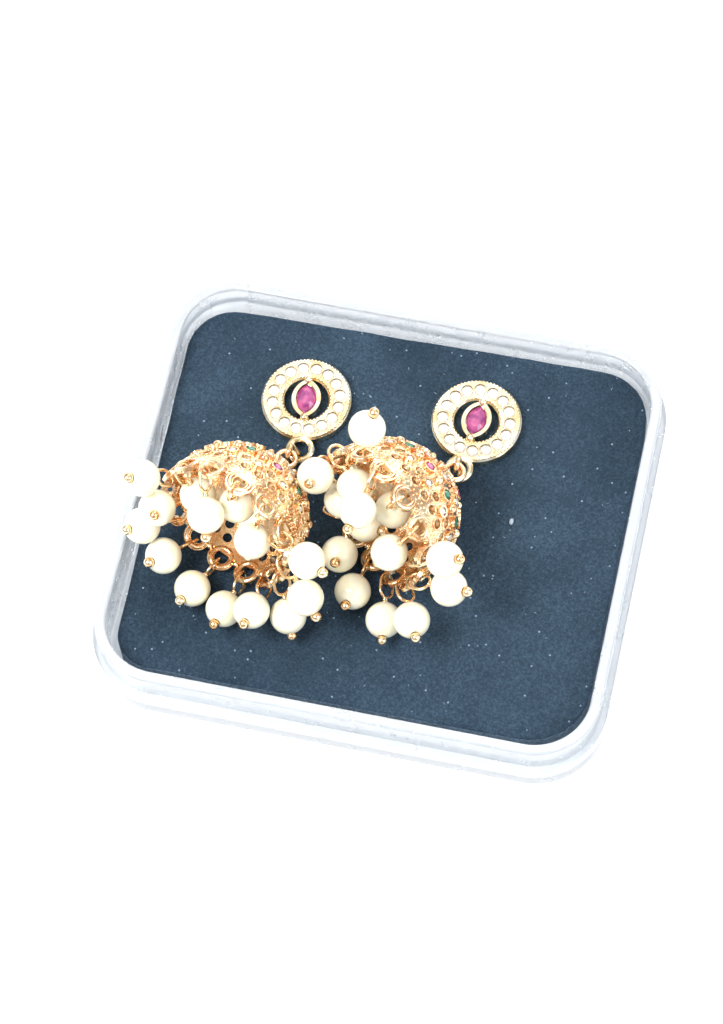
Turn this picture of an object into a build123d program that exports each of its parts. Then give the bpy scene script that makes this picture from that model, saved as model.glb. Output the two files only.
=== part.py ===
from build123d import *
import os
from math import asin, cos, degrees, radians, sin

# A pair of jhumka earrings lying in a shallow clear display box on a foam pad.
# Millimetres, +Z up. The origin is the middle of the box's underside, +X runs
# along the box's long side and +Y to its far side.

# Display box: an open tray with a ledge that a lid would close on
BOX_WIDTH = 71.4
BOX_DEPTH = 63.2
BOX_HEIGHT = 10.0
BOX_CORNER = 10.0
BOX_FLOOR = 1.2
LEDGE_HEIGHT = 5.3
LEDGE_WIDTH = 0.8
RIM_WIDTH = 1.5
RIM_ROUNDING = 0.4
FOOT_ROUNDING = 0.7

# Foam pad, cut by hand a little smaller than the box
PAD_TOP = 5.7
PAD_GAP = 0.2
PAD_CORNERS = [
    # x, y, rounding
    (-32.0, -27.4, 5.0),
    (33.1, -27.4, 8.5),
    (33.1, 29.0, 7.4),
    (-33.1, 28.1, 6.8),
]

# Stud: a ring of stones round a marquise stone, with a loop soldered below
RING_RADIUS = 6.3
RING_HOLE = 3.15
RING_HEIGHT = 1.5
RING_EDGE = 0.3
HALO_COUNT = 16
HALO_STONE = 0.8
HALO_SINK = 0.15
HALO_SEAT_DEPTH = 0.5
MARQUISE_LENGTH = 4.4
MARQUISE_WIDTH = 2.8
MARQUISE_FACETS = 6
MARQUISE_SINK = 0.25
BEZEL_WALL = 0.55
BEZEL_CLEAR = 0.1
BEZEL_FLOOR = 0.5
BEZEL_HEIGHT = 1.7
PRONG_RADIUS = 0.6
PRONG_OUT = 0.7
PRONG_SINK = 0.2
BRIDGE_HEIGHT = 1.0
LOOP_RADIUS = 1.6
LOOP_WIRE = 0.48
LOOP_HEIGHT = 1.35
POST_RADIUS = 0.45
POST_LENGTH = 3.8
STUD_GAP = 0.15
SOLDER = 0.2

# Link between the stud's loop and the eye on the dome
LINK_HALF_WIDTH = 0.95
LINK_WIRE = 0.36
LINK_SLACK = 0.15

# Dome: a pierced bell. Its frame has the axis on +Z, the mouth at height 0
# and the crown on top. The wall's section is two tangent arcs.
WALL = 0.7
WALL_FOOT = 2.2
SIDE_CENTRE_X = -3.06
SIDE_CENTRE_Z = -0.11
SIDE_RADIUS = 13.65
CAP_START = 10.0
CAP_CENTRE_Z = 3.27
CAP_RADIUS = 9.08
FINIAL_RADIUS = 1.5
FINIAL_HEIGHT = 0.9
EYE_RADIUS = 1.3
EYE_WIRE = 0.4
EYE_HEIGHT = 14.4

# Scalloped rim: one flat ring for each drop
DROP_COUNT = 14
SCALLOP_RADIUS = 1.95
SCALLOP_HOLE = 1.0
SCALLOP_THICK = 0.5
SCALLOP_HEIGHT = 1.5
RIM_BEAD = 0.5
RIM_BEAD_UP = 0.4
RIM_BEAD_OUT = 0.15

# Pierced rows in the wall: height, holes in the row, hole radius, half step
PIERCED_ROWS = [
    (4.35, 28, 0.65, 0.5),
    (6.0, 14, 0.65, 0.5),
]

# Stone rows on the wall: height, stones in the row, half step, colours in turn
STONE_ROWS = [
    (5.75, 14, 0.0, ["white"]),
    (7.7, 12, 0.0, ["red", "green", "green"]),
    (9.2, 12, 0.5, ["white"]),
    (10.7, 8, 0.0, ["white", "red"]),
]
STONE_RADIUS = {"white": 0.55, "green": 0.7, "red": 0.7}
STONE_CLEAR = 0.07
COLLET_WALL = 0.22
COLLET_HEIGHT = 0.55
COLLET_ROOT = 0.15
SEAT_FLOOR = 0.05

# Proportions of a round cut stone, by its girdle's radius
TABLE = 0.6
CROWN = 0.4
PAVILION = 0.35
CULET = 0.5

# Bead rows on the wall: height, beads in the row, half step, bead radius
BEAD_ROWS = [
    (7.7, 12, 0.5, 0.7),
    (10.7, 8, 0.5, 0.5),
    (11.9, 8, 0.0, 0.4),
]

# Drop: a pearl on a head pin whose loop goes round the scallop's lower band
PEARL_RADIUS = 2.5
PEARL_BORE = 0.35
PIN_WIRE = 0.22
PIN_LOOP = 1.2
PIN_LOOP_LENGTH = 1.0
PIN_REACH = 5.4
PIN_BALL = 0.72
BALL_SEAT = 0.12
BALL_REACH = 2.95

# Where each dome lies: its mouth's middle, the way the mouth faces (degrees
# from +X), how far the mouth looks up, and the turn of the first scallop.
# Each drop hangs from its scallop at two angles in degrees: swing is 0 along
# the dome's axis, 90 straight out and -90 in across the mouth; sway is
# sideways, round the rim.
EARRINGS = {
    "left": {
        "stud": (-14.2, 15.7),
        "loop_turn": -83.7,
        "mouth": (-19.3, -9.9, 17.15),
        "facing": 247.0,
        "tilt": 12.0,
        "first_scallop": 18.0,
        "drops": [
            (30, 32), (-100, -20), (-50, 15), (-105, 5), (-75, 31), (80, 25), (70, 35),
            (65, 35), (0, -20), (0, -10), (-10, 0), (-15, 20), (0, 31), (-30, 33),
        ],
    },
    "right": {
        "stud": (9.8, 17.1),
        "loop_turn": -96.5,
        "mouth": (-0.1, -4.9, 17.15),
        "facing": 229.0,
        "tilt": 12.0,
        "first_scallop": 6.0,
        "drops": [
            (-25, 36), (-80, 25), (110, 25), (-20, 25), (-105, 5), (-65, 30), (105, -30),
            (115, -35), (55, -36), (40, -33), (-10, -31), (-45, -15), (-110, -25), (-80, 10),
        ],
    },
}


def save(shape, name):
    shape.label = name
    export_step(shape, f"parts/{name}.step")


def rounded_block(width, depth, corner, bottom, top):
    outline = RectangleRounded(width, depth, corner)
    return Pos(0, 0, bottom) * extrude(outline, amount=top - bottom)


# ---- display box and pad

def box_tray():
    rim_out = 2 * LEDGE_WIDTH
    lower = rounded_block(BOX_WIDTH, BOX_DEPTH, BOX_CORNER, 0, LEDGE_HEIGHT)
    lower = fillet(lower.faces().sort_by(Axis.Z)[0].edges(), FOOT_ROUNDING)
    upper = rounded_block(
        BOX_WIDTH - rim_out, BOX_DEPTH - rim_out, BOX_CORNER - LEDGE_WIDTH, LEDGE_HEIGHT - 1, BOX_HEIGHT
    )
    wall = LEDGE_WIDTH + RIM_WIDTH
    cavity = rounded_block(
        BOX_WIDTH - 2 * wall, BOX_DEPTH - 2 * wall, BOX_CORNER - wall, BOX_FLOOR, BOX_HEIGHT + 1
    )
    tray = lower + upper - cavity
    return fillet(tray.faces().sort_by(Axis.Z)[-1].edges(), RIM_ROUNDING)


def foam_pad():
    outline = Polyline([(x, y) for x, y, _ in PAD_CORNERS], close=True)
    face = make_face(outline)
    for x, y, rounding in PAD_CORNERS:
        corner = face.vertices().sort_by_distance((x, y, 0))[0]
        face = fillet(corner, rounding)
    pad = Pos(0, 0, BOX_FLOOR + PAD_GAP) * extrude(face, amount=PAD_TOP - BOX_FLOOR - PAD_GAP)
    for earring in EARRINGS.values():
        x, y = earring["stud"]
        pad -= Pos(x, y, PAD_TOP) * Cylinder(POST_RADIUS + PAD_GAP, 3 * PAD_TOP)
    return pad


# ---- cut stones, each with a table, eight crown facets and eight pavilion facets

def cut_stone(girdle, table, culet, crown_height, pavilion_depth):
    crown = loft([girdle, Pos(0, 0, crown_height) * table], ruled=True)
    pavilion = loft([Pos(0, 0, -pavilion_depth) * culet, girdle], ruled=True)
    return crown + pavilion


def round_stone(radius):
    girdle, table, culet = [RegularPolygon(size * radius, 8) for size in (1, TABLE, CULET)]
    return cut_stone(girdle, table, culet, CROWN * radius, PAVILION * radius)


def lens(length, width):
    """A pointed oval along X between two arcs."""
    left = (-length / 2, 0)
    right = (length / 2, 0)
    upper = ThreePointArc(left, (0, width / 2), right)
    lower = ThreePointArc(right, (0, -width / 2), left)
    return make_face(Curve() + [upper, lower])


def faceted_lens(length, width):
    """The same pointed oval with each arc cut into flat facets."""
    radius = (length ** 2 + width ** 2) / (4 * width)
    half = asin(length / 2 / radius)
    points = []
    for side in (1, -1):
        for step in range(MARQUISE_FACETS):
            angle = half * (1 - 2 * step / MARQUISE_FACETS)
            height = radius * cos(angle) - radius + width / 2
            points.append((side * radius * sin(angle), side * height))
    return make_face(Polyline(points, close=True))


def marquise_stone():
    girdle = faceted_lens(MARQUISE_LENGTH, MARQUISE_WIDTH)
    table = faceted_lens(TABLE * MARQUISE_LENGTH, TABLE * MARQUISE_WIDTH)
    half_width = MARQUISE_WIDTH / 2
    return cut_stone(girdle, table, table, CROWN * half_width, PAVILION * half_width)


# ---- stud, made with its loop towards +X and its back at height 0

def stud_ring():
    ring = Cylinder(RING_RADIUS, RING_HEIGHT) - Cylinder(RING_HOLE, 2 * RING_HEIGHT)
    ring = chamfer(ring.edges().filter_by(GeomType.CIRCLE).group_by(Axis.Z)[-1], RING_EDGE)
    return Pos(0, 0, RING_HEIGHT / 2) * ring


def stud_frame():
    seat = Cylinder(HALO_STONE + STONE_CLEAR, 2 * HALO_SEAT_DEPTH)
    seats = [place * seat for place in halo_places(RING_HEIGHT)]

    inner_length = MARQUISE_LENGTH + 4 * BEZEL_CLEAR
    inner_width = MARQUISE_WIDTH + 2 * BEZEL_CLEAR
    inner = Pos(0, 0, BEZEL_FLOOR) * lens(inner_length, inner_width)
    outer = lens(inner_length + 2 * BEZEL_WALL, inner_width + 2 * BEZEL_WALL)
    bezel = extrude(outer, amount=BEZEL_HEIGHT) - extrude(inner, amount=BEZEL_HEIGHT)

    tip = MARQUISE_LENGTH / 2 + PRONG_OUT
    prong_height = BEZEL_HEIGHT - PRONG_SINK
    bridge_start = tip - PRONG_RADIUS
    bridge_end = RING_HOLE + SOLDER
    bridge = Box(bridge_end - bridge_start, 2 * PRONG_RADIUS, BRIDGE_HEIGHT)
    joined = [bezel]
    for side in (-1, 1):
        joined.append(Pos(side * (bridge_start + bridge_end) / 2, 0, BRIDGE_HEIGHT / 2) * bridge)
        joined.append(Pos(side * tip, 0, prong_height) * Sphere(PRONG_RADIUS))
        joined.append(Pos(side * tip, 0, prong_height / 2) * Cylinder(0.8 * PRONG_RADIUS, prong_height))

    loop = stud_loop_place() * Torus(LOOP_RADIUS, LOOP_WIRE)
    post = Pos(0, 0, SOLDER - POST_LENGTH / 2) * Cylinder(POST_RADIUS, POST_LENGTH)
    stone_room = extrude(inner, amount=BEZEL_HEIGHT - MARQUISE_SINK - BEZEL_FLOOR)
    frame = stud_ring().fuse(*joined, loop, post)
    return frame.cut(*seats, stone_room)


def stud_loop_place():
    return Pos(RING_RADIUS + LOOP_RADIUS - 0.05, 0, LOOP_HEIGHT)


def halo_places(height):
    pitch = (RING_RADIUS + RING_HOLE) / 2
    for index in range(HALO_COUNT):
        yield Rot(0, 0, (index + 0.5) * 360 / HALO_COUNT) * Pos(pitch, 0, height)


def halo_stones():
    stone = round_stone(HALO_STONE)
    return Compound([place * stone for place in halo_places(RING_HEIGHT - HALO_SINK)])


def stud_place(earring):
    x, y = earring["stud"]
    return Pos(x, y, PAD_TOP + STUD_GAP) * Rot(0, 0, earring["loop_turn"])


# ---- wire loops

def oval_loop(half_width, length, wire):
    """A closed wire loop in the XZ plane, its end arcs centred at heights 0 and length."""
    section = Plane.XY * Pos(half_width, 0) * Circle(wire)
    top = Pos(0, 0, length) * revolve(section, Axis.Y, -180)
    bottom = revolve(section, Axis.Y, 180)
    sides = [Pos(side * half_width, 0, length / 2) * Cylinder(wire, length) for side in (-1, 1)]
    return top.fuse(bottom, *sides)


# ---- dome, in its own frame

def wall_section(thickness):
    """The wall's arcs, moved in by a thickness: foot, side middle, shoulder, cap middle, top."""
    foot_angle = asin((WALL_FOOT - SIDE_CENTRE_Z) / SIDE_RADIUS)
    shoulder_angle = asin((CAP_START - SIDE_CENTRE_Z) / SIDE_RADIUS)
    points = []
    for angle in (foot_angle, (foot_angle + shoulder_angle) / 2, shoulder_angle):
        radius = SIDE_RADIUS - thickness
        points.append((SIDE_CENTRE_X + radius * cos(angle), SIDE_CENTRE_Z + radius * sin(angle)))
    top = (0, CAP_CENTRE_Z + CAP_RADIUS - thickness)
    return points + [cap_middle(points[2], top), top]


def cap_middle(shoulder, top):
    """The cap's arc is centred on the axis, so its middle follows from its two ends."""
    rise = top[1] - shoulder[1]
    radius = (shoulder[0] ** 2 + rise ** 2) / (2 * rise)
    half = asin(shoulder[0] / radius) / 2
    return (radius * sin(half), top[1] - radius + radius * cos(half))


def dome_wall():
    outer = wall_section(0)
    inner = wall_section(WALL)
    lines = [
        ThreePointArc(*outer[0:3]),
        ThreePointArc(*outer[2:5]),
        Line(outer[4], inner[4]),
        ThreePointArc(*reversed(inner[2:5])),
        ThreePointArc(*reversed(inner[0:3])),
        Line(inner[0], outer[0]),
    ]
    face = make_face(Curve() + lines)
    return revolve(Plane.XZ * face, Axis.Z)


def wall_place(turn, height):
    """A place on the wall's outer face, its Z pointing out and its X running round the dome."""
    if height < CAP_START:
        angle = asin((height - SIDE_CENTRE_Z) / SIDE_RADIUS)
        radius = SIDE_CENTRE_X + SIDE_RADIUS * cos(angle)
    else:
        angle = asin((height - CAP_CENTRE_Z) / CAP_RADIUS)
        radius = CAP_RADIUS * cos(angle)
    return Rot(0, 0, turn) * Pos(radius, 0, height) * Rot(0, 90 - degrees(angle), 0)


def row_places(height, count, half_step):
    return [wall_place((index + half_step) * 360 / count, height) for index in range(count)]


def stones_of(colour):
    """The places of every stone of one colour on a dome."""
    places = []
    for height, count, half_step, colours in STONE_ROWS:
        for index, place in enumerate(row_places(height, count, half_step)):
            if colours[index % len(colours)] == colour:
                places.append(place)
    return places


def scallop_place(index):
    turn = index * 360 / DROP_COUNT
    slope = degrees(asin((WALL_FOOT - SIDE_CENTRE_Z) / SIDE_RADIUS))
    radius = wall_section(WALL / 2)[0][0]
    return Rot(0, 0, turn) * Pos(radius, 0, SCALLOP_HEIGHT) * Rot(0, 90 - slope, 0)


def dome():
    scallop = Cylinder(SCALLOP_RADIUS, SCALLOP_THICK) - Cylinder(SCALLOP_HOLE, 2 * SCALLOP_THICK)
    raised = []
    for index in range(DROP_COUNT):
        raised.append(scallop_place(index) * scallop)
        raised.append(scallop_place(index + 0.5) * Pos(-RIM_BEAD_UP, 0, RIM_BEAD_OUT) * Sphere(RIM_BEAD))
    seats = []
    for colour, stone_radius in STONE_RADIUS.items():
        seat_radius = stone_radius + STONE_CLEAR
        collet = Cylinder(seat_radius + COLLET_WALL, COLLET_HEIGHT + 2 * COLLET_ROOT)
        collet = Pos(0, 0, COLLET_HEIGHT / 2 - COLLET_ROOT) * collet
        seat = Pos(0, 0, SEAT_FLOOR + COLLET_HEIGHT) * Cylinder(seat_radius, 2 * COLLET_HEIGHT)
        for place in stones_of(colour):
            raised.append(place * collet)
            seats.append(place * seat)
    for height, count, half_step, radius in BEAD_ROWS:
        for place in row_places(height, count, half_step):
            raised.append(place * Pos(0, 0, 0.4 * radius) * Sphere(radius))
    top = CAP_CENTRE_Z + CAP_RADIUS
    raised.append(Pos(0, 0, top) * Cylinder(FINIAL_RADIUS, FINIAL_HEIGHT))
    raised.append(Pos(0, 0, top + FINIAL_HEIGHT / 2) * Sphere(0.6 * FINIAL_RADIUS))
    holes = []
    for height, count, radius, half_step in PIERCED_ROWS:
        for place in row_places(height, count, half_step):
            holes.append(place * Cylinder(radius, 4 * WALL))
    return dome_wall().fuse(*raised).cut(*seats, *holes)


def dome_eye():
    return Pos(0, 0, EYE_HEIGHT) * Rot(90, 0, 0) * Torus(EYE_RADIUS, EYE_WIRE)


def dome_stones(colour):
    stone = round_stone(STONE_RADIUS[colour])
    lift = SEAT_FLOOR + 0.05 + PAVILION * STONE_RADIUS[colour]
    return Compound([place * Pos(0, 0, lift) * stone for place in stones_of(colour)])


def dome_place(earring):
    """The dome's frame in the box: +Z from its mouth to its crown, +Y up from the pad."""
    facing = radians(earring["facing"])
    tilt = radians(earring["tilt"])
    axis = Vector(-cos(tilt) * cos(facing), -cos(tilt) * sin(facing), -sin(tilt))
    across = Vector(sin(facing), -cos(facing), 0)
    return Plane(origin=earring["mouth"], x_dir=across, z_dir=axis).location


# ---- drops

def head_pin():
    loop = oval_loop(PIN_LOOP, PIN_LOOP_LENGTH, PIN_WIRE)
    start = PIN_LOOP + PIN_LOOP_LENGTH
    end = PIN_REACH + BALL_REACH
    shank = Pos(0, 0, (start + end) / 2) * Cylinder(PIN_WIRE, end - start)
    ball = Pos(0, 0, end) * Sphere(PIN_BALL)
    return loop.fuse(shank, ball)


def pearl():
    bore = Cylinder(PEARL_BORE, 3 * PEARL_RADIUS)
    seat = Pos(0, 0, BALL_REACH) * Sphere(PIN_BALL + BALL_SEAT)
    return Pos(0, 0, PIN_REACH) * (Sphere(PEARL_RADIUS) - bore - seat)


def drop_places(earring):
    """Each drop's frame: its origin in the scallop's lower band, +Z down the pin."""
    placed = dome_place(earring)
    band = (SCALLOP_RADIUS + SCALLOP_HOLE) / 2
    places = []
    for index, (swing, sway) in enumerate(earring["drops"]):
        turn = earring["first_scallop"] + index * 360 / DROP_COUNT
        offset = earring["first_scallop"] * DROP_COUNT / 360
        anchor = scallop_place(index + offset) * Pos(band, 0, 0)
        swing, sway, round_dome = radians(swing), radians(sway), radians(turn)
        out = Vector(cos(round_dome), sin(round_dome), 0)
        along = Vector(-sin(round_dome), cos(round_dome), 0)
        hang = (out * sin(swing) - Vector(0, 0, 1) * cos(swing)) * cos(sway) + along * sin(sway)
        frame = Plane(origin=anchor.position, x_dir=along.cross(hang), z_dir=hang)
        places.append(placed * frame.location)
    return places


# ---- link from the dome's eye to the stud's loop

def wire_point(centre, normal, toward, radius):
    """The point of a ring's wire that lies nearest to another place."""
    reach = toward - centre
    reach = reach - normal * reach.dot(normal)
    return centre + reach.normalized() * radius


def hanging_link(earring):
    placed = dome_place(earring)
    eye_frame = Plane(placed * Pos(0, 0, EYE_HEIGHT) * Rot(90, 0, 0))
    loop_frame = Plane(stud_place(earring) * stud_loop_place())
    eye_wire = wire_point(eye_frame.origin, eye_frame.z_dir, loop_frame.origin, EYE_RADIUS)
    loop_wire = wire_point(loop_frame.origin, loop_frame.z_dir, eye_frame.origin, LOOP_RADIUS)
    pull = (loop_wire - eye_wire).normalized()
    start = eye_wire - pull * (EYE_WIRE + LINK_WIRE + LINK_SLACK)
    end = loop_wire + pull * (LOOP_WIRE + LINK_WIRE + LINK_SLACK)
    span = (end - start).length - 2 * LINK_HALF_WIDTH
    eye_line = eye_frame.z_dir.cross(eye_wire - eye_frame.origin).normalized()
    loop_line = loop_frame.z_dir.cross(loop_wire - loop_frame.origin).normalized()
    if eye_line.dot(loop_line) < 0:
        loop_line = -loop_line
    across = eye_line + loop_line
    frame = Plane(origin=start + pull * LINK_HALF_WIDTH, x_dir=across.cross(pull), z_dir=pull)
    return frame.location * oval_loop(LINK_HALF_WIDTH, span, LINK_WIRE)


def build():
    os.makedirs("parts", exist_ok=True)
    save(box_tray(), "box_tray")
    save(foam_pad(), "foam_pad")
    plain_dome = dome()
    pin = head_pin()
    bead = pearl()
    for side, earring in EARRINGS.items():
        stud = stud_place(earring)
        save(stud * stud_frame(), f"{side}_stud_frame")
        save(stud * halo_stones(), f"{side}_halo_stones")
        save(stud * Pos(0, 0, BEZEL_HEIGHT - MARQUISE_SINK) * marquise_stone(), f"{side}_marquise_stone")
        save(hanging_link(earring), f"{side}_link")
        placed = dome_place(earring) * Rot(0, 0, earring["first_scallop"])
        save((placed * plain_dome).fuse(dome_place(earring) * dome_eye()), f"{side}_dome")
        for colour in STONE_RADIUS:
            save(placed * dome_stones(colour), f"{side}_dome_{colour}_stones")
        places = drop_places(earring)
        save(Compound([place * pin for place in places]), f"{side}_pearl_pins")
        for number, place in enumerate(places, start=1):
            save(place * bead, f"{side}_pearl_{number:02d}")


build()
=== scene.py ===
import math
import random

import bmesh
import bpy
from mathutils import Matrix, Vector, noise


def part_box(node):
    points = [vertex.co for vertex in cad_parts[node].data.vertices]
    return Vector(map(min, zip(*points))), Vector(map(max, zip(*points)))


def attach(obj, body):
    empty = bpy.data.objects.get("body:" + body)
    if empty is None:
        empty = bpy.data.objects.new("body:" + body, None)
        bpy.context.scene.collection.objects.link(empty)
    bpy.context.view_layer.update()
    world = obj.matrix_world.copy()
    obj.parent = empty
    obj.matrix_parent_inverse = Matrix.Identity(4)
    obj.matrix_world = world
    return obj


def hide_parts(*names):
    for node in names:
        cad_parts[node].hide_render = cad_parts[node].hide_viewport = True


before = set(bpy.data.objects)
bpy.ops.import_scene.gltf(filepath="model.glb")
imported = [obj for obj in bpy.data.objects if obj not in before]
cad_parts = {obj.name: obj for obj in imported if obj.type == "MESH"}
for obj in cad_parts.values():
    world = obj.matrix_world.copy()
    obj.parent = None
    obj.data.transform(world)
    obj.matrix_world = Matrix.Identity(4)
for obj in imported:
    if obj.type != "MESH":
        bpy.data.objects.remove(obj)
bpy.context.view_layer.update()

bl_info = {
    "name": "Jhumka earrings in a display box",
    "version": (1, 0, 0),
    "blender": (4, 5, 0),
    "location": "3D View > Sidebar > Jhumka",
    "description": "Finishes a pair of pearl-drop earrings on a velvet pad in a clear box",
    "category": "Object",
}

MM = 0.001
SIDES = ("left", "right")
DROP_COUNT = 14

# The pad's cut outline: the corners and how far each was rounded off, in mm
PAD_CORNERS = [
    # x, y, rounding
    (-32.0, -27.4, 5.0),
    (33.1, -27.4, 8.5),
    (33.1, 29.0, 7.4),
    (-33.1, 28.1, 6.8),
]

# Stud sizes, in mm, for the small grains of metal that hold its stones
RING_OUTER = 6.3
RING_INNER = 3.15
HALO_COUNT = 16

# Where each dome's frame stands, in mm and degrees: its axis runs from the mouth to the crown
DOMES = {
    # middle of the mouth, the way the mouth faces, how far the crown dips, turn of the first scallop
    "left": ((-19.3, -9.9, 17.15), 247.0, 12.0, 18.0),
    "right": ((-0.1, -4.9, 17.15), 229.0, 12.0, 6.0),
}

# The dome's outer wall in mm: two arcs, the lower one centred inside the dome, the upper on its axis
SIDE_ARC = (-3.06, -0.11, 13.65)
CAP_ARC = (0.0, 3.27, 9.08)
CAP_START = 10.0

# Stone rows on the dome's wall
STONE_ROWS = [
    # height, stones, half step, seat radius of each colour in turn, all in mm
    (5.75, 14, 0.0, (0.62,)),
    (7.7, 12, 0.0, (0.77,)),
    (9.2, 12, 0.5, (0.62,)),
    (10.7, 8, 0.0, (0.62, 0.77)),
]

# Pierced rows in the dome's wall, each hole half a step round from the stones below it
HOLE_ROWS = [
    # height, holes, hole radius, all in mm
    (4.35, 28, 0.65),
    (6.0, 14, 0.65),
]

# Scallops on the dome's rim, in mm: where their middles stand and the middle line of their bands
SCALLOP_REACH = 10.05
SCALLOP_HEIGHT = 1.5
SCALLOP_SLOPE = 9.7
SCALLOP_BAND = 1.44

# Beaded lines round the dome's wall
GRAIN_LINES = [
    # height, grains, grain radius, all in mm
    (2.75, 96, 0.15),
    (3.3, 92, 0.17),
    (5.2, 88, 0.14),
    (6.72, 74, 0.2),
    (8.42, 66, 0.16),
    (9.95, 52, 0.2),
    (11.35, 34, 0.16),
]

# Dome relief, in mm: the grains round each stone, and the wires round holes and scallops
STONE_GRAIN = 0.19
STONE_GRAIN_OUT = 0.08
STONE_GRAIN_UP = 0.42
HOLE_WIRE = 0.14
HOLE_WIRE_OUT = 0.12
SCALLOP_WIRE = 0.45

# Stud relief, in mm: how far in from the edges the grains stand, and how far they rise
HALO_GRAIN_OUT = 0.66
HALO_GRAIN_UP = 0.2
EDGE_GRAIN = 0.2
EDGE_GRAIN_UP = 0.15
OUTER_EDGE_IN = 0.34
INNER_EDGE_IN = 0.3

# Wire wraps on the pins, in mm: the first turn's distance from the pearl's middle, and the next ones' step
WRAP_RADIUS = 0.32
WRAP_WIRE = 0.12
WRAP_START = 2.62
WRAP_STEP = 0.24
WRAP_TURNS = 3

# The velvet pad's mesh, in mm
PAD_GRID = 1.6
PAD_EDGE = 0.45
LINT_MARGIN = 2.0


# ---- colour and node helpers

def linear(hex_colour):
    """An sRGB hex colour as linear RGBA."""
    channels = []
    for start in (1, 3, 5):
        value = int(hex_colour[start:start + 2], 16) / 255
        channels.append(value / 12.92 if value <= 0.04045 else ((value + 0.055) / 1.055) ** 2.4)
    return (*channels, 1.0)


def add_node(tree, kind, settings=None, links=None, **inputs):
    """Adds a node, sets its properties and inputs, and links inputs to other nodes' outputs."""
    node = tree.nodes.new(kind)
    for key, value in (settings or {}).items():
        setattr(node, key, value)
    for key, value in inputs.items():
        node.inputs[key.replace("_", " ")].default_value = value
    for key, output in (links or {}).items():
        tree.links.new(output, node.inputs[key])
    return node


def new_material(name):
    material = bpy.data.materials.new(name)
    material.use_nodes = True
    tree = material.node_tree
    shader = tree.nodes["Principled BSDF"]
    place = tree.nodes.new("ShaderNodeTexCoord").outputs["Object"]
    return material, tree, shader, place


def set_ramp(ramp, stops):
    """Gives a colour ramp its stops: position and colour."""
    elements = ramp.color_ramp.elements
    while len(elements) > 1:
        elements.remove(elements[-1])
    elements[0].position = stops[0][0]
    elements[0].color = stops[0][1]
    for position, colour in stops[1:]:
        elements.new(position).color = colour


def bump(tree, shader, height, distance_mm, strength=1.0):
    node = add_node(
        tree, "ShaderNodeBump", links={"Height": height}, Strength=strength, Distance=distance_mm * MM
    )
    tree.links.new(node.outputs["Normal"], shader.inputs["Normal"])
    return node


# ---- materials

def moulded_polystyrene(settings):
    """Clear moulded polystyrene: it bends light strongly, is faintly blue, and has soft scuffs."""
    material, tree, shader, place = new_material("clear_moulded_polystyrene")
    shader.inputs["Base Color"].default_value = linear("#EFF4F9")
    shader.inputs["IOR"].default_value = 1.59
    shader.inputs["Transmission Weight"].default_value = 0.7
    # scuffs of handling, about 3 mm across
    scuffs = add_node(
        tree, "ShaderNodeTexNoise", links={"Vector": place}, Scale=320.0, Detail=4.0, Roughness=0.65
    )
    rough = add_node(
        tree, "ShaderNodeMapRange", links={"Value": scuffs.outputs["Fac"]},
        From_Min=0.35, From_Max=0.75, To_Min=settings.roughness, To_Max=settings.roughness + 0.22,
    )
    tree.links.new(rough.outputs["Result"], shader.inputs["Roughness"])
    # flow ripples of the moulding, about 6 mm long
    ripple = add_node(tree, "ShaderNodeTexNoise", links={"Vector": place}, Scale=160.0, Detail=1.0)
    bump(tree, shader, ripple.outputs["Fac"], 0.12, 0.35)
    return material


def cut_velvet(settings):
    """Short-pile velvet: slate blue, with painted sheen where the pile catches light, and fine grain and
    dust.
    """
    material, tree, shader, place = new_material("short_pile_velvet")
    # pile tufts are about 0.15 mm; drawn at 0.3 mm so that they show
    pile = add_node(
        tree, "ShaderNodeTexNoise", links={"Vector": place}, Scale=3300.0, Detail=3.0, Roughness=0.75
    )
    # patches brushed one way or the other, about 10 mm across, painted lighter or darker: painted sheen
    brushed_patch_sheen = add_node(tree, "ShaderNodeTexNoise", links={"Vector": place}, Scale=100.0, Detail=1.0)
    pile_grain_and_sheen = add_node(
        tree, "ShaderNodeMath", {"operation": "MULTIPLY_ADD"},
        {0: brushed_patch_sheen.outputs["Fac"], 2: pile.outputs["Fac"]},
    )
    pile_grain_and_sheen.inputs[1].default_value = 0.3
    # the ramp paints sheen: its lighter tones stand for pile grain and brushed patches catching light
    ramp = add_node(tree, "ShaderNodeValToRGB", links={"Fac": pile_grain_and_sheen.outputs["Value"]})
    set_ramp(ramp, [(0.45, linear("#1C2936")), (0.65, linear("#2A3A48")), (0.85, linear("#3C4F60"))])
    # dust specks, about 0.1 mm across and one or two mm apart
    dust = add_node(tree, "ShaderNodeTexVoronoi", links={"Vector": place}, Scale=900.0)
    speck = add_node(
        tree, "ShaderNodeMath", {"operation": "LESS_THAN"}, {0: dust.outputs["Distance"]}
    )
    speck.inputs[1].default_value = 0.12
    chance = add_node(tree, "ShaderNodeSeparateColor", links={"Color": dust.outputs["Color"]})
    rare = add_node(
        tree, "ShaderNodeMath", {"operation": "GREATER_THAN"}, {0: chance.outputs["Red"]}
    )
    rare.inputs[1].default_value = 0.72
    lit = add_node(
        tree, "ShaderNodeMath", {"operation": "MULTIPLY"},
        {0: speck.outputs["Value"], 1: rare.outputs["Value"]},
    )
    colour = add_node(
        tree, "ShaderNodeMix", {"data_type": "RGBA"},
        {"Factor": lit.outputs["Value"]},
    )
    tree.links.new(ramp.outputs["Color"], colour.inputs["A"])
    colour.inputs["B"].default_value = linear("#7E93A6")
    tree.links.new(colour.outputs["Result"], shader.inputs["Base Color"])
    shader.inputs["Roughness"].default_value = 0.95
    shader.inputs["Specular IOR Level"].default_value = 0.15
    shader.inputs["Sheen Weight"].default_value = settings.sheen
    shader.inputs["Sheen Roughness"].default_value = 0.45
    shader.inputs["Sheen Tint"].default_value = linear("#8FA6C4")
    bump(tree, shader, pile.outputs["Fac"], settings.pile, 0.6)
    return material


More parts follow.
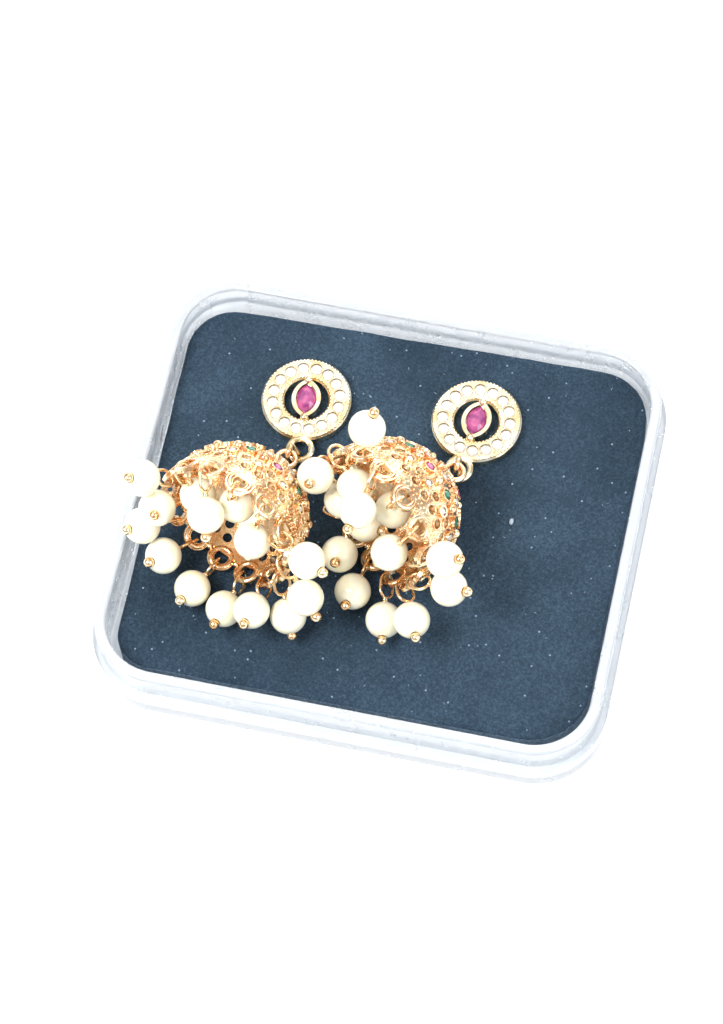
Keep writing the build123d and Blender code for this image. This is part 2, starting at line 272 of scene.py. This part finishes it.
def cut_foam():
    """Open-cell foam cut with a blade: slate, matt, with cells about 0.4 mm across, and painted shade in
    their hollows.
    """
    material, tree, shader, place = new_material("cut_foam")
    cells = add_node(tree, "ShaderNodeTexVoronoi", links={"Vector": place}, Scale=2400.0)
    # painted shade: darker at each cell's middle, where the bump sinks a pit
    ramp = add_node(tree, "ShaderNodeValToRGB", links={"Fac": cells.outputs["Distance"]})
    set_ramp(ramp, [(0.0, linear("#2C3A48")), (0.7, linear("#566C80"))])
    tree.links.new(ramp.outputs["Color"], shader.inputs["Base Color"])
    shader.inputs["Roughness"].default_value = 0.9
    bump(tree, shader, cells.outputs["Distance"], 0.2, 0.8)
    return material


def gold_plate(name, thin, settings, grain_mm, grain_depth_mm, thick=None):
    """Polished gold plate on cast brass: bright, rosier where it is thin, with the casting's skin."""
    material, tree, shader, place = new_material(name)
    skin = add_node(
        tree, "ShaderNodeTexNoise", links={"Vector": place},
        Scale=1000.0 / grain_mm, Detail=3.0, Roughness=0.6,
    )
    # plating is thinner and rosier in patches about 2 mm across
    patches = add_node(
        tree, "ShaderNodeTexNoise", links={"Vector": place}, Scale=500.0, Detail=2.0, Roughness=0.5
    )
    ramp = add_node(tree, "ShaderNodeValToRGB", links={"Fac": patches.outputs["Fac"]})
    full = linear(thick) if thick else (*settings.gold, 1.0)
    set_ramp(ramp, [(0.38, linear(thin)), (0.62, full)])
    tree.links.new(ramp.outputs["Color"], shader.inputs["Base Color"])
    shader.inputs["Metallic"].default_value = 1.0
    rough = add_node(
        tree, "ShaderNodeMapRange", links={"Value": skin.outputs["Fac"]},
        From_Min=0.3, From_Max=0.7, To_Min=settings.roughness * 0.6, To_Max=settings.roughness * 1.5,
    )
    tree.links.new(rough.outputs["Result"], shader.inputs["Roughness"])
    bump(tree, shader, skin.outputs["Fac"], grain_depth_mm, 0.7)
    return material


def cut_stone(name, colour, ior, transmission, roughness=0.03):
    """Cut and polished stone: the colour sits in the body, and the facets glint."""
    material, tree, shader, place = new_material(name)
    # uneven colour inside the stone, about 1 mm across
    zone = add_node(tree, "ShaderNodeTexNoise", links={"Vector": place}, Scale=900.0, Detail=1.0)
    ramp = add_node(tree, "ShaderNodeValToRGB", links={"Fac": zone.outputs["Fac"]})
    set_ramp(ramp, [(0.35, linear(colour[0])), (0.65, linear(colour[1]))])
    tree.links.new(ramp.outputs["Color"], shader.inputs["Base Color"])
    shader.inputs["Roughness"].default_value = roughness
    shader.inputs["IOR"].default_value = ior
    shader.inputs["Transmission Weight"].default_value = transmission
    shader.inputs["Coat Weight"].default_value = 0.3
    return material


def imitation_pearl(settings):
    """Imitation pearl: a cream lacquer with pearl pigment over a bead, smooth and glossy."""
    material, tree, shader, place = new_material("cream_imitation_pearl")
    # the dipped lacquer pools in soft clouds, about 2 mm across
    clouds = add_node(
        tree, "ShaderNodeTexNoise", links={"Vector": place}, Scale=450.0, Detail=2.0, Roughness=0.5
    )
    ramp = add_node(tree, "ShaderNodeValToRGB", links={"Fac": clouds.outputs["Fac"]})
    set_ramp(ramp, [(0.35, linear("#F0E9C8")), (0.65, (*settings.colour, 1.0))])
    tree.links.new(ramp.outputs["Color"], shader.inputs["Base Color"])
    shader.inputs["Roughness"].default_value = settings.roughness
    shader.inputs["Subsurface Weight"].default_value = 0.15
    shader.inputs["Subsurface Radius"].default_value = (1.0, 0.75, 0.5)
    shader.inputs["Subsurface Scale"].default_value = 0.6 * MM
    shader.inputs["Coat Weight"].default_value = 0.6
    shader.inputs["Coat Roughness"].default_value = 0.12
    shader.inputs["Sheen Weight"].default_value = 0.15
    # faint orange-peel of the lacquer
    bump(tree, shader, clouds.outputs["Fac"], 0.04, 0.4)
    return material


# ---- mesh helpers

def as_mesh(shape):
    """A bmesh in metres as a mesh."""
    mesh = bpy.data.meshes.new("piece")
    shape.to_mesh(mesh)
    shape.free()
    return mesh


def template(shape):
    """The corners and faces of a small bmesh, made once to be repeated many times."""
    shape.verts.index_update()
    corners = [vertex.co.copy() for vertex in shape.verts]
    loops = [[vertex.index for vertex in face.verts] for face in shape.faces]
    shape.free()
    # a spin's merge leaves its faces in a different order each run, so they are put in one order
    firsts = [loop.index(min(loop)) for loop in loops]
    return corners, sorted(loop[first:] + loop[:first] for loop, first in zip(loops, firsts))


def joined(copies):
    """One mesh from many templates, each with its place."""
    corners, faces = [], []
    for (points, loops), place in copies:
        start = len(corners)
        corners.extend(place @ point for point in points)
        faces.extend([start + index for index in loop] for loop in loops)
    mesh = bpy.data.meshes.new("piece")
    mesh.from_pydata(corners, [], faces)
    return mesh


def make_piece(name, mesh, materials):
    """Makes a mesh in metres a smooth piece of the object, riding on its body."""
    mesh.name = name
    for polygon in mesh.polygons:
        polygon.use_smooth = True
    for material in materials:
        mesh.materials.append(material)
    piece = bpy.data.objects.new(name, mesh)
    bpy.context.scene.collection.objects.link(piece)
    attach(piece, "root")
    return piece


def dress(names, material):
    """Gives CAD nodes a better material."""
    for name in names:
        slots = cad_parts[name].material_slots
        for slot in slots:
            slot.material = material


def bead(radius_mm):
    """A round bead's template."""
    shape = bmesh.new()
    bmesh.ops.create_icosphere(shape, subdivisions=2, radius=radius_mm * MM)
    return template(shape)


def ring(radius_mm, wire_mm, sides=8, steps=14):
    """The template of a closed ring of round wire about Z."""
    shape = bmesh.new()
    bmesh.ops.create_circle(shape, segments=sides, radius=wire_mm * MM)
    # one corner of the wire's section points straight out from the ring's middle
    bmesh.ops.rotate(shape, verts=shape.verts, matrix=Matrix.Rotation(-math.pi / 2, 3, "Z"))
    bmesh.ops.rotate(shape, verts=shape.verts, matrix=Matrix.Rotation(math.pi / 2, 3, "X"))
    bmesh.ops.translate(shape, verts=shape.verts, vec=(radius_mm * MM, 0, 0))
    bmesh.ops.spin(
        shape, geom=shape.verts[:] + shape.edges[:], cent=(0, 0, 0), axis=(0, 0, 1),
        angle=2 * math.pi, steps=steps, use_merge=True,
    )
    bmesh.ops.recalc_face_normals(shape, faces=shape.faces)
    return template(shape)


def fibre(length_mm, thick_mm, bend):
    """The template of a loose fibre lying on the ground: a thin four-sided thread, bent by an angle."""
    steps = 5
    shape = bmesh.new()
    bmesh.ops.create_cone(
        shape, cap_ends=True, segments=4, radius1=thick_mm * MM, radius2=thick_mm * MM, depth=length_mm * MM
    )
    bmesh.ops.rotate(shape, verts=shape.verts, matrix=Matrix.Rotation(math.pi / 2, 3, "Y"))
    for step in range(1, steps):
        bmesh.ops.bisect_plane(
            shape, geom=shape.verts[:] + shape.edges[:] + shape.faces[:], dist=1e-9,
            plane_co=(length_mm * MM * (step / steps - 0.5), 0, 0), plane_no=(1, 0, 0),
        )
    for vertex in shape.verts:
        share = vertex.co.x / (length_mm * MM)
        section = Matrix.Rotation(bend * share, 3, "Z") @ Vector((0, vertex.co.y, vertex.co.z))
        middle = Vector((length_mm * share, length_mm * bend * share * share / 2, 0))
        vertex.co = middle * MM + section
    return template(shape)


def lump(point):
    """An uneven push for a point. The noise module's own vector noise changes from run to run."""
    return Vector([noise.noise(point + Vector((7 * axis, 0, 0))) for axis in range(3)])


def wall_place(turn, height):
    """A place on the dome's outer wall, its Z pointing out of the metal."""
    middle, base, radius = SIDE_ARC if height < CAP_START else CAP_ARC
    angle = math.asin((height - base) / radius)
    out = middle + radius * math.cos(angle)
    return (
        Matrix.Rotation(math.radians(turn), 4, "Z")
        @ Matrix.Translation((out * MM, 0, height * MM))
        @ Matrix.Rotation(math.pi / 2 - angle, 4, "Y")
    )


def scallop_place(index):
    """The middle of a scallop on the dome's rim, its Z pointing out of the metal."""
    return (
        Matrix.Rotation(2 * math.pi * index / DROP_COUNT, 4, "Z")
        @ Matrix.Translation((SCALLOP_REACH * MM, 0, SCALLOP_HEIGHT * MM))
        @ Matrix.Rotation(math.radians(90 - SCALLOP_SLOPE), 4, "Y")
    )


def dome_frame(side):
    """The dome's own frame in the box, +Z from its mouth to its crown, turned to its first scallop."""
    mouth, facing, tilt, first = DOMES[side]
    facing, tilt = math.radians(facing), math.radians(tilt)
    axis = Vector((
        -math.cos(tilt) * math.cos(facing), -math.cos(tilt) * math.sin(facing), -math.sin(tilt)
    ))
    across = Vector((math.sin(facing), -math.cos(facing), 0))
    up = axis.cross(across)
    frame_of = Matrix((across, up, axis)).transposed().to_4x4()
    return Matrix.Translation(Vector(mouth) * MM) @ frame_of @ Matrix.Rotation(math.radians(first), 4, "Z")


def islands(node):
    """The separate solids of a CAD node, each as a list of points, in the same order every run."""
    shape = bmesh.new()
    shape.from_mesh(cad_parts[node].data)
    bmesh.ops.remove_doubles(shape, verts=shape.verts, dist=1e-7)
    shape.verts.index_update()
    # a dictionary keeps its order, where a set's order changes from run to run
    left = dict.fromkeys(shape.verts)
    found = []
    while left:
        start = next(iter(left))
        del left[start]
        group, edge_of = [start], [start]
        while edge_of:
            vertex = edge_of.pop()
            for edge in vertex.link_edges:
                other = edge.other_vert(vertex)
                if other in left:
                    del left[other]
                    group.append(other)
                    edge_of.append(other)
        found.append([vertex.co.copy() for vertex in sorted(group, key=lambda vertex: vertex.index)])
    shape.free()
    return found


# ---- settings

class BoxSettings(bpy.types.PropertyGroup):
    roughness: bpy.props.FloatProperty(
        name="Plastic roughness", description="How matt the box's plastic is", default=0.12, min=0, max=1
    )


class PadSettings(bpy.types.PropertyGroup):
    sheen: bpy.props.FloatProperty(
        name="Sheen", description="How much the pile catches light", default=0.25, min=0, max=1
    )
    pile: bpy.props.FloatProperty(
        name="Pile depth (mm)", description="How deep the pile's grain reads", default=0.25, min=0, max=2
    )
    edge_wave: bpy.props.FloatProperty(
        name="Edge wave (mm)", description="How uneven the cut edge is", default=0.3, min=0, max=2
    )
    lint: bpy.props.IntProperty(
        name="Lint fibres", description="How many loose fibres lie on the pad", default=60, min=0, max=400
    )


class MetalSettings(bpy.types.PropertyGroup):
    gold: bpy.props.FloatVectorProperty(
        name="Gold", description="Colour of the gold plate", subtype="COLOR", size=3,
        default=linear("#FBE6C2")[:3], min=0, max=1,
    )
    roughness: bpy.props.FloatProperty(
        name="Roughness", description="How soft the metal's polish is", default=0.2, min=0, max=1
    )
    grain: bpy.props.FloatProperty(
        name="Grain radius (mm)", description="Radius of the grains that hold the stones",
        default=0.24, min=0.05, max=1,
    )


class PearlSettings(bpy.types.PropertyGroup):
    colour: bpy.props.FloatVectorProperty(
        name="Pearl", description="Colour of the pearl lacquer", subtype="COLOR", size=3,
        default=linear("#F8F5E0")[:3], min=0, max=1,
    )
    roughness: bpy.props.FloatProperty(
        name="Roughness", description="How soft the pearl's shine is", default=0.22, min=0, max=1
    )


class StageSettings(bpy.types.PropertyGroup):
    floor: bpy.props.FloatVectorProperty(
        name="Floor", description="Colour of the floor", subtype="COLOR", size=3,
        default=linear("#F4F4F4")[:3], min=0, max=1,
    )
    key_power: bpy.props.FloatProperty(
        name="Key light (W)", description="Power of the main soft light", default=3.8, min=0, unit="POWER"
    )


# ---- the object's pieces

class JHUMKA_OT_display_box(bpy.types.Operator):
    """Gives the tray its clear moulded plastic"""

    bl_idname = "jhumka.display_box"
    bl_label = "Display box"

    def execute(self, context):
        dress(["box_tray"], moulded_polystyrene(context.scene.jhumka_box))
        return {"FINISHED"}


class JHUMKA_OT_velvet_pad(bpy.types.Operator):
    """Models the foam pad with its velvet face and hand-cut edge"""

    bl_idname = "jhumka.velvet_pad"
    bl_label = "Velvet pad"

    def execute(self, context):
        settings = context.scene.jhumka_pad
        low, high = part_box("foam_pad")
        shape = bmesh.new()
        corners = [shape.verts.new((x * MM, y * MM, low.z)) for x, y, _ in PAD_CORNERS]
        shape.faces.new(corners)
        for vertex, (_, _, rounding) in zip(corners, PAD_CORNERS):
            before, after = [edge.other_vert(vertex).co - vertex.co for edge in vertex.link_edges]
            turn = math.pi - before.angle(after)
            offset = rounding * MM * math.tan(turn / 2)
            bmesh.ops.bevel(
                shape, geom=[vertex], offset=offset, segments=8, profile=0.5,
                affect="VERTICES", material=-1,
            )
        pitch = PAD_GRID * MM
        for axis, span in ((0, (low.x, high.x)), (1, (low.y, high.y))):
            steps = int((span[1] - span[0]) / pitch)
            for step in range(1, steps):
                at = Vector((0, 0, low.z))
                at[axis] = span[0] + step * pitch
                normal = Vector((0, 0, 0))
                normal[axis] = 1
                bmesh.ops.bisect_plane(
                    shape, geom=shape.verts[:] + shape.edges[:] + shape.faces[:],
                    dist=1e-6, plane_co=at, plane_no=normal,
                )
        # the cuts leave slivers at the round corners, and the rim's bevel would fold them over
        bmesh.ops.remove_doubles(shape, verts=shape.verts, dist=PAD_EDGE * MM)
        made = bmesh.ops.extrude_face_region(shape, geom=shape.faces[:])
        top = [item for item in made["geom"] if isinstance(item, bmesh.types.BMVert)]
        rise = high.z - low.z
        bmesh.ops.translate(shape, verts=top, vec=(0, 0, rise))
        bmesh.ops.recalc_face_normals(shape, faces=shape.faces)
        rim = [
            edge for edge in shape.edges
            if all(vertex.co.z > high.z - 1e-5 for vertex in edge.verts)
            and any(abs(face.normal.z) < 0.5 for face in edge.link_faces)
        ]
        bmesh.ops.bevel(
            shape, geom=rim, offset=PAD_EDGE * MM, segments=3, profile=0.5, affect="EDGES", material=-1
        )
        middle = (low + high) / 2
        for vertex in shape.verts:
            flat = Vector((vertex.co.x, vertex.co.y, 0))
            edge_near = max(
                abs(vertex.co.x - middle.x) / (high.x - low.x), abs(vertex.co.y - middle.y) / (high.y - low.y)
            ) * 2
            # the blade wandered a little along the edge, and the face is pressed unevenly
            wave = noise.noise(flat * 160)
            pull = settings.edge_wave * MM * max(0, edge_near - 0.8) * 2.2
            vertex.co.x -= pull * (0.5 + wave) * (1 if vertex.co.x > middle.x else -1)
            other_wave = noise.noise(flat * 170 + Vector((3, 1, 2)))
            vertex.co.y -= pull * (0.5 + other_wave) * (1 if vertex.co.y > middle.y else -1)
            if vertex.co.z > low.z + 0.5 * rise:
                vertex.co.z += 0.08 * MM * noise.noise(flat * 90) - 0.06 * MM
        shape.normal_update()
        for face in shape.faces:
            face.material_index = 0 if face.normal.z > 0.35 else 1
        piece = make_piece("velvet_pad", as_mesh(shape), [cut_velvet(settings), cut_foam()])
        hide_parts("foam_pad")
        return {"FINISHED"}


class JHUMKA_OT_lint(bpy.types.Operator):
    """Scatters loose fibres and one crumb of lint on the velvet"""

    bl_idname = "jhumka.lint"
    bl_label = "Lint"

    def execute(self, context):
        low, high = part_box("foam_pad")
        scatter = random.Random(7)
        copies = []
        margin = LINT_MARGIN * MM
        for _ in range(context.scene.jhumka_pad.lint):
            at = Vector((
                scatter.uniform(low.x + margin, high.x - margin),
                scatter.uniform(low.y + margin, high.y - margin),
                high.z + 0.03 * MM,
            ))
            thread = fibre(
                scatter.uniform(0.1, 0.5), scatter.uniform(0.01, 0.024), scatter.uniform(-1.8, 1.8)
            )
            turn = Matrix.Rotation(scatter.uniform(0, 2 * math.pi), 4, "Z")
            copies.append((thread, Matrix.Translation(at) @ turn))
        # one crumb large enough to be seen at once, about 0.9 mm long
        crumb, faces = bead(0.38)
        crumb = [point + 0.12 * MM * lump(point * 3000) for point in crumb]
        spot = Matrix.Translation((17.5 * MM, 3.6 * MM, high.z + 0.2 * MM))
        copies.append(((crumb, faces), spot @ Matrix.Diagonal((0.8, 1.3, 0.5, 1))))
        material, tree, shader, place = new_material("cotton_lint")
        # pale cotton fibre, dusty grey where it lies in the pile
        tone = add_node(tree, "ShaderNodeTexNoise", links={"Vector": place}, Scale=300.0)
        ramp = add_node(tree, "ShaderNodeValToRGB", links={"Fac": tone.outputs["Fac"]})
        set_ramp(ramp, [(0.4, linear("#6F8192")), (0.66, linear("#B9C5CF"))])
        tree.links.new(ramp.outputs["Color"], shader.inputs["Base Color"])
        shader.inputs["Roughness"].default_value = 0.9
        make_piece("lint_fibres", joined(copies), [material])
        return {"FINISHED"}


class JHUMKA_OT_metalwork(bpy.types.Operator):
    """Plates the metal in gold, and sets its grains, beaded lines and wires"""

    bl_idname = "jhumka.metalwork"
    bl_label = "Metalwork"

    def execute(self, context):
        settings = context.scene.jhumka_metal
        stud_gold = gold_plate("pale_gold_plate", "#F1D9AC", settings, 0.9, 0.03, "#FFF8E2")
        dome_gold = gold_plate("cast_gold_plate", "#EAB98C", settings, 0.5, 0.07)
        wire_gold = gold_plate("drawn_gold_wire", "#EDC08C", settings, 0.6, 0.02)
        for side in SIDES:
            dress([f"{side}_stud_frame"], stud_gold)
            dress([f"{side}_dome"], dome_gold)
            dress([f"{side}_link", f"{side}_pearl_pins"], wire_gold)
            self.stud_grains(side, stud_gold, settings.grain)
            self.dome_relief(side, dome_gold)
            self.wraps(side, wire_gold)
        return {"FINISHED"}

    def dome_relief(self, side, material):
        """Grains that hold the dome's stones, beaded lines, and wire round its holes and scallops."""
        frame_of = dome_frame(side)
        copies = []
        grain = bead(STONE_GRAIN)
        for height, count, half_step, seats in STONE_ROWS:
            for index in range(count):
                wall = frame_of @ wall_place((index + half_step) * 360 / count, height)
                reach = seats[index % len(seats)] + STONE_GRAIN_OUT
                for corner in range(4):
                    turn = math.radians(45 + 90 * corner)
                    at = Vector((math.cos(turn) * reach, math.sin(turn) * reach, STONE_GRAIN_UP)) * MM
                    copies.append((grain, wall @ Matrix.Translation(at)))
        for height, count, radius in GRAIN_LINES:
            grain = bead(radius)
            for index in range(count):
                copies.append((grain, frame_of @ wall_place(index * 360 / count, height)))
        for height, count, radius in HOLE_ROWS:
            wire = ring(radius + HOLE_WIRE_OUT, HOLE_WIRE)
            for index in range(count):
                copies.append((wire, frame_of @ wall_place((index + 0.5) * 360 / count, height)))
        band = ring(SCALLOP_BAND, SCALLOP_WIRE, 10, 28)
        for index in range(DROP_COUNT):
            copies.append((band, frame_of @ scallop_place(index)))
        make_piece(f"{side}_dome_grains", joined(copies), [material])

    def wraps(self, side, material):
        """Turns of wire that close each drop's loop, between the loop and the pearl."""
        copies = []
        wire = ring(WRAP_RADIUS, WRAP_WIRE)
        pearls = [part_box(f"{side}_pearl_{number:02d}") for number in range(1, DROP_COUNT + 1)]
        middles = [(low + high) / 2 for low, high in pearls]
        for points in islands(f"{side}_pearl_pins"):
            pearl = min(middles, key=lambda middle: min((point - middle).length for point in points))
            loop_end = max(points, key=lambda point: (point - pearl).length)
            along = (loop_end - pearl).normalized()
            turn = along.to_track_quat("Z", "Y").to_matrix().to_4x4()
            for step in range(WRAP_TURNS):
                at = pearl + along * (WRAP_START + WRAP_STEP * step) * MM
                copies.append((wire, Matrix.Translation(at) @ turn))
        make_piece(f"{side}_pin_wraps", joined(copies), [material])

    def stud_grains(self, side, material, radius):
        """Grains between the halo's stones, and a fine beaded line at each edge of the ring."""
        stones = islands(f"{side}_halo_stones")
        middles = [sum(points, Vector()) / len(points) for points in stones]
        centre = sum(middles, Vector()) / len(middles)
        first = math.atan2(middles[0].y - centre.y, middles[0].x - centre.x)
        pitch = (RING_OUTER + RING_INNER) / 2
        rows = (
            # distance from the stud's middle, grains, grain radius, height over the stones' middles, in mm
            (pitch - HALO_GRAIN_OUT, HALO_COUNT, radius, HALO_GRAIN_UP),
            (pitch + HALO_GRAIN_OUT, HALO_COUNT, radius, HALO_GRAIN_UP),
            (RING_OUTER - OUTER_EDGE_IN, 72, EDGE_GRAIN, EDGE_GRAIN_UP),
            (RING_INNER + INNER_EDGE_IN, 40, EDGE_GRAIN, EDGE_GRAIN_UP),
        )
        copies = []
        for reach, count, size, height in rows:
            grain = bead(size)
            for index in range(count):
                turn = first + (index + 0.5) * 2 * math.pi / count
                at = Vector((math.cos(turn) * reach, math.sin(turn) * reach, height)) * MM
                copies.append((grain, Matrix.Translation(centre + at)))
        make_piece(f"{side}_stud_grains", joined(copies), [material])


class JHUMKA_OT_stones(bpy.types.Operator):
    """Cuts the clear, red and green stones' materials"""

    bl_idname = "jhumka.stones"
    bl_label = "Stones"

    def execute(self, context):
        white = cut_stone("clear_cubic_zirconia", ("#FFFFFF", "#FBF8F0"), 2.15, 0.3)
        red = cut_stone("ruby_glass", ("#942A78", "#D4609C"), 1.76, 0.3, 0.06)
        green = cut_stone("emerald_glass", ("#1C7A57", "#5DB08E"), 1.57, 0.3, 0.06)
        for side in SIDES:
            dress([f"{side}_halo_stones", f"{side}_dome_white_stones"], white)
            dress([f"{side}_marquise_stone", f"{side}_dome_red_stones"], red)
            dress([f"{side}_dome_green_stones"], green)
        return {"FINISHED"}


class JHUMKA_OT_pearls(bpy.types.Operator):
    """Coats the pearls in cream lacquer"""

    bl_idname = "jhumka.pearls"
    bl_label = "Pearls"

    def execute(self, context):
        material = imitation_pearl(context.scene.jhumka_pearl)
        dress(
            [f"{side}_pearl_{number:02d}" for side in SIDES for number in range(1, DROP_COUNT + 1)],
            material,
        )
        return {"FINISHED"}


class JHUMKA_OT_stage(bpy.types.Operator):
    """Lays the pale floor, hangs the soft lights and sets up the camera"""

    bl_idname = "jhumka.stage"
    bl_label = "Stage"

    def execute(self, context):
        scene = context.scene
        settings = scene.jhumka_stage
        self.lay_floor(scene, settings)
        self.hang_lights(scene, settings)
        self.place_camera(scene)
        scene.view_settings.view_transform = "Standard"
        return {"FINISHED"}

    def lay_floor(self, scene, settings):
        shape = bmesh.new()
        bmesh.ops.create_grid(shape, x_segments=4, y_segments=4, size=1.5)
        mesh = bpy.data.meshes.new("floor")
        shape.to_mesh(mesh)
        shape.free()
        floor = bpy.data.objects.new("floor", mesh)
        floor.location.z = -0.02 * MM
        scene.collection.objects.link(floor)
        material, tree, shader, place = new_material("white_card")
        shader.inputs["Base Color"].default_value = (*settings.floor, 1.0)
        shader.inputs["Roughness"].default_value = 0.8
        seen = tree.nodes.new("ShaderNodeLightPath")
        either = add_node(
            tree, "ShaderNodeMath", {"operation": "MAXIMUM"},
            {0: seen.outputs["Is Camera Ray"], 1: seen.outputs["Is Transmission Ray"]},
        )
        any_seen = add_node(
            tree, "ShaderNodeMath", {"operation": "MAXIMUM"},
            {0: either.outputs["Value"], 1: seen.outputs["Is Glossy Ray"]},
        )
        glow = add_node(
            tree, "ShaderNodeMath", {"operation": "MULTIPLY"}, {0: any_seen.outputs["Value"]}
        )
        glow.inputs[1].default_value = 0.42
        shader.inputs["Emission Color"].default_value = (1, 1, 1, 1)
        tree.links.new(glow.outputs["Value"], shader.inputs["Emission Strength"])
        mesh.materials.append(material)

    def hang_lights(self, scene, settings):
        world = bpy.data.worlds.new("studio")
        world.use_nodes = True
        world.node_tree.nodes["Background"].inputs["Color"].default_value = (1, 1, 1, 1)
        world.node_tree.nodes["Background"].inputs["Strength"].default_value = 0.6
        scene.world = world
        lamps = (
            # name, place in m, size in m, share of the key's power, colour
            ("key", (-0.22, -0.18, 0.5), 0.22, 1.0, "#FFFFFF"),
            ("fill", (0.4, -0.1, 0.35), 0.4, 0.45, "#F4F8FF"),
            ("rim", (0.05, 0.45, 0.3), 0.3, 0.4, "#FFF6EA"),
            ("overhead", (-0.06, 0.19, 0.46), 0.36, 0.085, "#FFFDF8"),
        )
        for name, place, size, share, colour in lamps:
            light = bpy.data.lights.new(name, "AREA")
            light.size = size
            light.energy = settings.key_power * share
            light.color = linear(colour)[:3]
            lamp = bpy.data.objects.new(name, light)
            lamp.location = place
            lamp.rotation_euler = (Vector((0, 0, 0.01)) - Vector(place)).to_track_quat("-Z", "Y").to_euler()
            scene.collection.objects.link(lamp)

    def place_camera(self, scene):
        """The camera stands high over the near side, a little to the right, and leans slightly."""
        azimuth = math.radians(17.56)
        height = math.radians(66.23)
        lean = math.radians(-5.64)
        target = Vector((-3.88, 3.38, 0)) * MM
        back = Vector((
            math.sin(azimuth) * math.cos(height), -math.cos(azimuth) * math.cos(height), math.sin(height)
        ))
        level = Vector((math.cos(azimuth), math.sin(azimuth), 0))
        upright = back.cross(level)
        right = math.cos(lean) * level + math.sin(lean) * upright
        up = math.cos(lean) * upright - math.sin(lean) * level
        camera = bpy.data.cameras.new("camera")
        camera.lens = 123.05
        camera.clip_start = 0.01
        holder = bpy.data.objects.new("camera", camera)
        turn = Matrix((right, up, back)).transposed().to_4x4()
        holder.matrix_world = Matrix.Translation(target + back * 0.4904) @ turn
        scene.collection.objects.link(holder)
        scene.camera = holder


STEPS = (
    JHUMKA_OT_stage,
    JHUMKA_OT_display_box,
    JHUMKA_OT_velvet_pad,
    JHUMKA_OT_lint,
    JHUMKA_OT_metalwork,
    JHUMKA_OT_stones,
    JHUMKA_OT_pearls,
)
GROUPS = {
    "jhumka_box": BoxSettings,
    "jhumka_pad": PadSettings,
    "jhumka_metal": MetalSettings,
    "jhumka_pearl": PearlSettings,
    "jhumka_stage": StageSettings,
}


class JHUMKA_PT_panel(bpy.types.Panel):
    """Lists the pieces and their settings"""

    bl_idname = "JHUMKA_PT_panel"
    bl_label = "Jhumka earrings"
    bl_space_type = "VIEW_3D"
    bl_region_type = "UI"
    bl_category = "Jhumka"

    def draw(self, context):
        for step in STEPS:
            self.layout.operator(step.bl_idname)
        for name, group in GROUPS.items():
            box = self.layout.box()
            for setting in group.__annotations__:
                box.prop(getattr(context.scene, name), setting)


def register():
    for one in (*GROUPS.values(), *STEPS, JHUMKA_PT_panel):
        bpy.utils.register_class(one)
    for name, group in GROUPS.items():
        setattr(bpy.types.Scene, name, bpy.props.PointerProperty(type=group))


def unregister():
    for name in GROUPS:
        delattr(bpy.types.Scene, name)
    for one in reversed((*GROUPS.values(), *STEPS, JHUMKA_PT_panel)):
        bpy.utils.unregister_class(one)


def main():
    register()
    bpy.ops.jhumka.stage()
    bpy.ops.jhumka.display_box()
    bpy.ops.jhumka.velvet_pad()
    bpy.ops.jhumka.lint()
    bpy.ops.jhumka.metalwork()
    bpy.ops.jhumka.stones()
    bpy.ops.jhumka.pearls()


if __name__ == "__main__":
    main()
